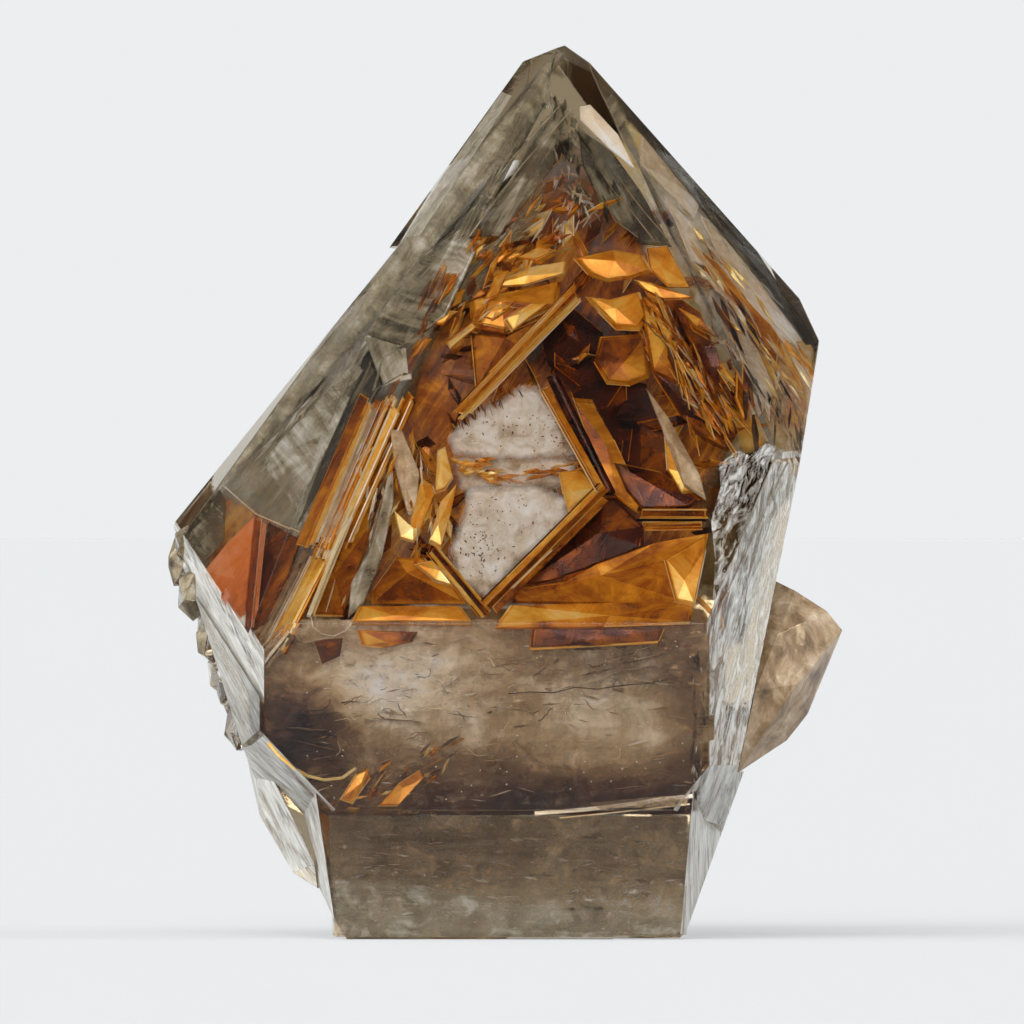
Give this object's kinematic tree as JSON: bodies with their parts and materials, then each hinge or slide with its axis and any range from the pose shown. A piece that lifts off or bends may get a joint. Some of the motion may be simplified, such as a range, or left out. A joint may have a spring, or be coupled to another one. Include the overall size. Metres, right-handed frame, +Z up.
{
  "type": "quartz crystal",
  "caption": "Blocky smoky quartz point with golden inner windows, a small side crystal and a flat broken base it stands on; a display mineral specimen.",
  "frame": {"origin": "middle of the object's footprint, on the flat break it rests on", "axes": "+Z up along the crystal's long axis, towards the tip; -Y towards the large front prism face; +X towards the side crystal"},
  "size_m": [0.047, 0.044, 0.0624],
  "materials": {
    "quartz": "clear smoky crystal, bright flat faces"
  },
  "bodies": {
    "root": {"crystal": "quartz"}
  },
  "joints": []
}
